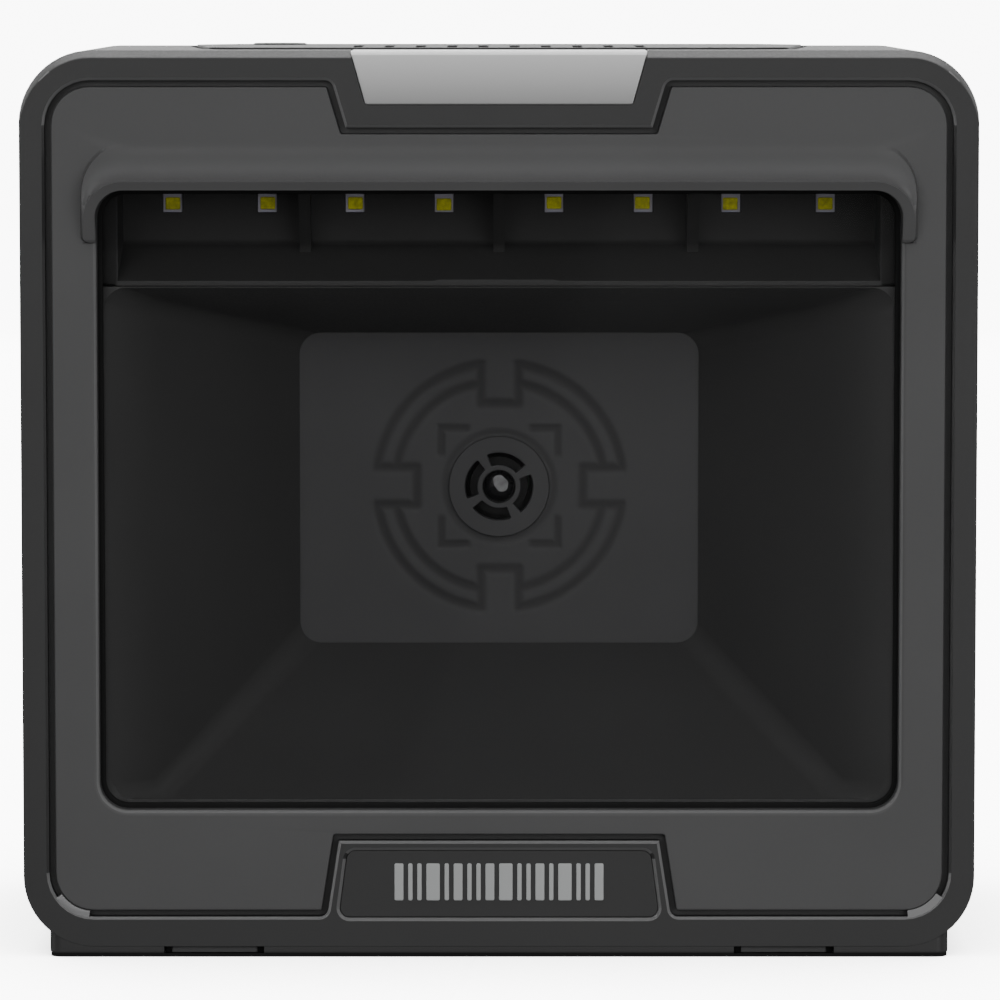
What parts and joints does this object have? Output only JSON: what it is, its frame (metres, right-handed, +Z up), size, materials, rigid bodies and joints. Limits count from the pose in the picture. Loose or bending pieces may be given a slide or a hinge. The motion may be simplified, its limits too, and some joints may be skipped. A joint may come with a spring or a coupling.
{
  "type": "presentation barcode scanner",
  "caption": "Upright counter-top presentation barcode scanner with a hooded scan window, lamp strip, camera, top button, speaker slots and a flat non-slip base.",
  "frame": {"origin": "centre of the overall box's underside: on the counter, under the middle of the scanner", "axes": "+Z up; the scan window faces -Y; +X is to the right of someone who faces the window"},
  "size_m": [0.15, 0.086, 0.1434],
  "materials": {
    "casing_plastic": "fine spark-eroded texture, charcoal grey",
    "fascia_plastic": "fine texture, slate grey",
    "black_plastic": "smooth matt black",
    "smoked_plastic": "satin, smoked dark grey",
    "frosted_plastic": "translucent milky white",
    "clear_glass": "clear, anti-reflection coated",
    "black_rubber": "matt black rubber",
    "green_board": "green solder mask over glass epoxy",
    "black_board": "black solder mask over glass epoxy",
    "led_package": "white LED package with yellow phosphor",
    "chip_package": "black moulding compound",
    "switch_plastic": "white nylon",
    "screw_steel": "black zinc plated",
    "plain_steel": "tinned steel",
    "speaker_frame": "black moulded frame",
    "speaker_paper": "black coated paper",
    "ribbon_film": "white polyester film"
  },
  "bodies": {
    "housing": {"rear_housing": "casing_plastic", "front_bezel": "casing_plastic", "top_panel": "casing_plastic", "base_plate": "casing_plastic", "fascia_panel": "fascia_plastic", "badge_plate": "black_plastic", "light_tunnel": "black_plastic", "led_shroud": "black_plastic", "camera_bracket": "black_plastic", "lens_barrel": "black_plastic", "lens_holder": "black_plastic", "speaker_bracket": "black_plastic", "camera_window": "smoked_plastic", "aimer_ring": "smoked_plastic", "indicator_lens": "frosted_plastic", "status_light_pipe": "frosted_plastic", "scan_window": "clear_glass", "lens_glass": "clear_glass", "window_gasket": "black_rubber", "speaker_gasket": "black_rubber", "foot_front_left": "black_rubber", "foot_front_right": "black_rubber", "foot_rear_left": "black_rubber", "foot_rear_right": "black_rubber", "main_board": "green_board", "camera_board": "green_board", "control_board": "green_board", "indicator_board": "green_board", "led_board": "black_board", "illumination_led_1": "led_package", "illumination_led_2": "led_package", "illumination_led_3": "led_package", "illumination_led_4": "led_package", "illumination_led_5": "led_package", "illumination_led_6": "led_package", "illumination_led_7": "led_package", "illumination_led_8": "led_package", "indicator_led_1": "led_package", "indicator_led_2": "led_package", "indicator_led_3": "led_package", "processor_chip": "chip_package", "image_sensor": "chip_package", "switch_body": "chip_package", "host_jack": "chip_package", "case_screw_1": "screw_steel", "case_screw_2": "screw_steel", "case_screw_3": "screw_steel", "case_screw_4": "screw_steel", "base_screw_1": "screw_steel", "base_screw_2": "screw_steel", "base_screw_3": "screw_steel", "base_screw_4": "screw_steel", "ballast_plate": "plain_steel", "shield_can": "plain_steel", "speaker": "speaker_frame", "speaker_cone": "speaker_paper", "camera_ffc": "ribbon_film", "led_ffc": "ribbon_film"},
    "button": {"top_button": "casing_plastic", "switch_plunger": "switch_plastic"}
  },
  "joints": [
    {"name": "button_press", "type": "slide", "parent": "housing", "child": "button", "axis": [0, 0, -1], "range_m": [0, 0.0005], "stiffness_N_per_m": 400, "springref_m": -0.0003}
  ]
}
